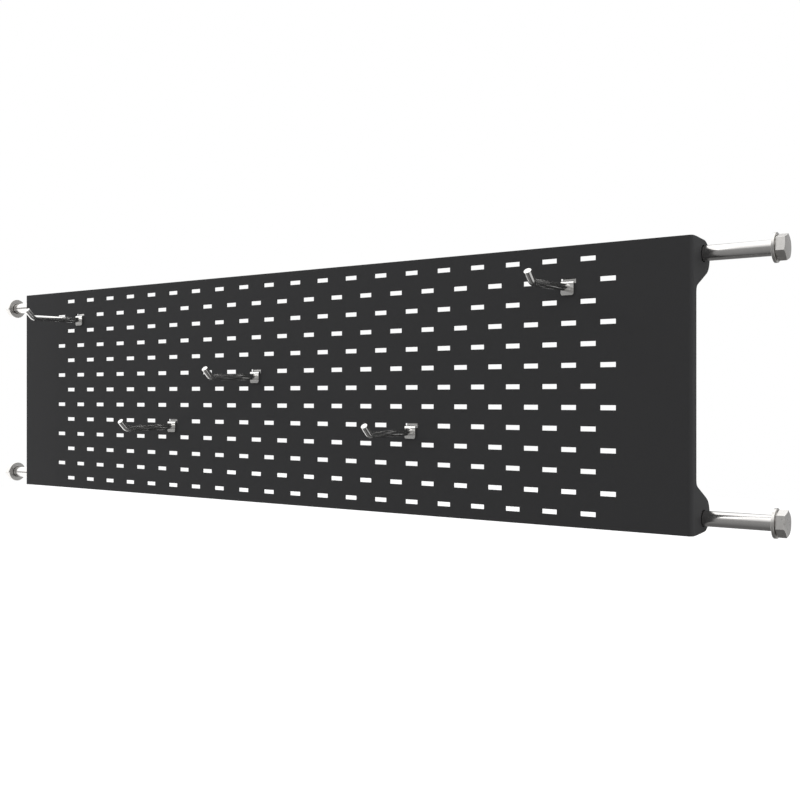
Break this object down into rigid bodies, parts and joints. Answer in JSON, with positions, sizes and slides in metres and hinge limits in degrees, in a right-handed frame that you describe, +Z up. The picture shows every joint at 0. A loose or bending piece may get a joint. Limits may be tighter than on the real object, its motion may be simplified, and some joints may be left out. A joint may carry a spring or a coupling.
{
  "type": "slotted storage pegboard",
  "caption": "Black folded steel storage panel with staggered slots, bolted between the posts of a training rig, with chrome hooks hung in its slots.",
  "frame": {"origin": "middle of the four bolt axes, half way along and half way up the panel, 34 mm behind its front face", "axes": "+X along the panel to the right as seen from the front, +Y towards its back, +Z up"},
  "size_m": [1.246, 0.1478, 0.3],
  "materials": {
    "powder_coat": "fine matt black powder coat",
    "zinc_steel": "bright zinc plate",
    "chrome_plate": "polished chrome plate",
    "nylon": "natural nylon"
  },
  "bodies": {
    "panel": {"panel": "powder_coat"},
    "clamp_top_left": {"head_washer_top_left": "zinc_steel"},
    "bolt_top_left": {"bolt_top_left": "zinc_steel"},
    "nut_top_left": {"nut_top_left": "zinc_steel", "locking_ring_top_left": "nylon", "nut_washer_top_left": "zinc_steel"},
    "clamp_bottom_left": {"head_washer_bottom_left": "zinc_steel"},
    "bolt_bottom_left": {"bolt_bottom_left": "zinc_steel"},
    "nut_bottom_left": {"nut_bottom_left": "zinc_steel", "locking_ring_bottom_left": "nylon", "nut_washer_bottom_left": "zinc_steel"},
    "clamp_top_right": {"head_washer_top_right": "zinc_steel"},
    "bolt_top_right": {"bolt_top_right": "zinc_steel"},
    "nut_top_right": {"nut_top_right": "zinc_steel", "locking_ring_top_right": "nylon", "nut_washer_top_right": "zinc_steel"},
    "clamp_bottom_right": {"head_washer_bottom_right": "zinc_steel"},
    "bolt_bottom_right": {"bolt_bottom_right": "zinc_steel"},
    "nut_bottom_right": {"nut_bottom_right": "zinc_steel", "locking_ring_bottom_right": "nylon", "nut_washer_bottom_right": "zinc_steel"},
    "hook_1": {"hook_strip_1": "chrome_plate", "hook_rod_1": "chrome_plate"},
    "hook_2": {"hook_strip_2": "chrome_plate", "hook_rod_2": "chrome_plate"},
    "hook_3": {"hook_strip_3": "chrome_plate", "hook_rod_3": "chrome_plate"},
    "hook_4": {"hook_strip_4": "chrome_plate", "hook_rod_4": "chrome_plate"},
    "hook_5": {"hook_strip_5": "chrome_plate", "hook_rod_5": "chrome_plate"}
  },
  "joints": [
    {"name": "clamp_slide_top_left", "type": "slide", "parent": "panel", "child": "clamp_top_left", "axis": [1, 0, 0], "range_m": [0, 0.0695]},
    {"name": "bolt_turn_top_left", "type": "hinge", "parent": "clamp_top_left", "child": "bolt_top_left", "pos_m": [-0.54, 0, 0.135], "axis": [-1, 0, 0], "range_deg": [0, 2700]},
    {"name": "nut_travel_top_left", "type": "slide", "parent": "clamp_top_left", "child": "nut_top_left", "axis": [1, 0, 0], "range_m": [0, 0.015]},
    {"name": "clamp_slide_bottom_left", "type": "slide", "parent": "panel", "child": "clamp_bottom_left", "axis": [1, 0, 0], "range_m": [0, 0.0695]},
    {"name": "bolt_turn_bottom_left", "type": "hinge", "parent": "clamp_bottom_left", "child": "bolt_bottom_left", "pos_m": [-0.54, 0, -0.135], "axis": [-1, 0, 0], "range_deg": [0, 2700]},
    {"name": "nut_travel_bottom_left", "type": "slide", "parent": "clamp_bottom_left", "child": "nut_bottom_left", "axis": [1, 0, 0], "range_m": [0, 0.015]},
    {"name": "clamp_slide_top_right", "type": "slide", "parent": "panel", "child": "clamp_top_right", "axis": [-1, 0, 0], "range_m": [0, 0.0695]},
    {"name": "bolt_turn_top_right", "type": "hinge", "parent": "clamp_top_right", "child": "bolt_top_right", "pos_m": [0.54, 0, 0.135], "axis": [1, 0, 0], "range_deg": [0, 2700]},
    {"name": "nut_travel_top_right", "type": "slide", "parent": "clamp_top_right", "child": "nut_top_right", "axis": [-1, 0, 0], "range_m": [0, 0.015]},
    {"name": "clamp_slide_bottom_right", "type": "slide", "parent": "panel", "child": "clamp_bottom_right", "axis": [-1, 0, 0], "range_m": [0, 0.0695]},
    {"name": "bolt_turn_bottom_right", "type": "hinge", "parent": "clamp_bottom_right", "child": "bolt_bottom_right", "pos_m": [0.54, 0, -0.135], "axis": [1, 0, 0], "range_deg": [0, 2700]},
    {"name": "nut_travel_bottom_right", "type": "slide", "parent": "clamp_bottom_right", "child": "nut_bottom_right", "axis": [-1, 0, 0], "range_m": [0, 0.015]},
    {"name": "hook_tilt_1", "type": "hinge", "parent": "panel", "child": "hook_1", "pos_m": [-0.405, -0.0315, 0.10985], "axis": [-1, 0, 0], "range_deg": [0, 60]},
    {"name": "hook_tilt_2", "type": "hinge", "parent": "panel", "child": "hook_2", "pos_m": [-0.045, -0.0315, 0.01985], "axis": [-1, 0, 0], "range_deg": [0, 60]},
    {"name": "hook_tilt_3", "type": "hinge", "parent": "panel", "child": "hook_3", "pos_m": [-0.2025, -0.0315, -0.04765], "axis": [-1, 0, 0], "range_deg": [0, 60]},
    {"name": "hook_tilt_4", "type": "hinge", "parent": "panel", "child": "hook_4", "pos_m": [0.2025, -0.0315, -0.04765], "axis": [-1, 0, 0], "range_deg": [0, 60]},
    {"name": "hook_tilt_5", "type": "hinge", "parent": "panel", "child": "hook_5", "pos_m": [0.405, -0.0315, 0.10985], "axis": [-1, 0, 0], "range_deg": [0, 60]}
  ],
  "couplings": [
    {"joint": "nut_travel_top_left", "follows": "bolt_turn_top_left", "m_per_rad": 0.0003183},
    {"joint": "nut_travel_bottom_left", "follows": "bolt_turn_bottom_left", "m_per_rad": 0.0003183},
    {"joint": "nut_travel_top_right", "follows": "bolt_turn_top_right", "m_per_rad": 0.0003183},
    {"joint": "nut_travel_bottom_right", "follows": "bolt_turn_bottom_right", "m_per_rad": 0.0003183}
  ]
}
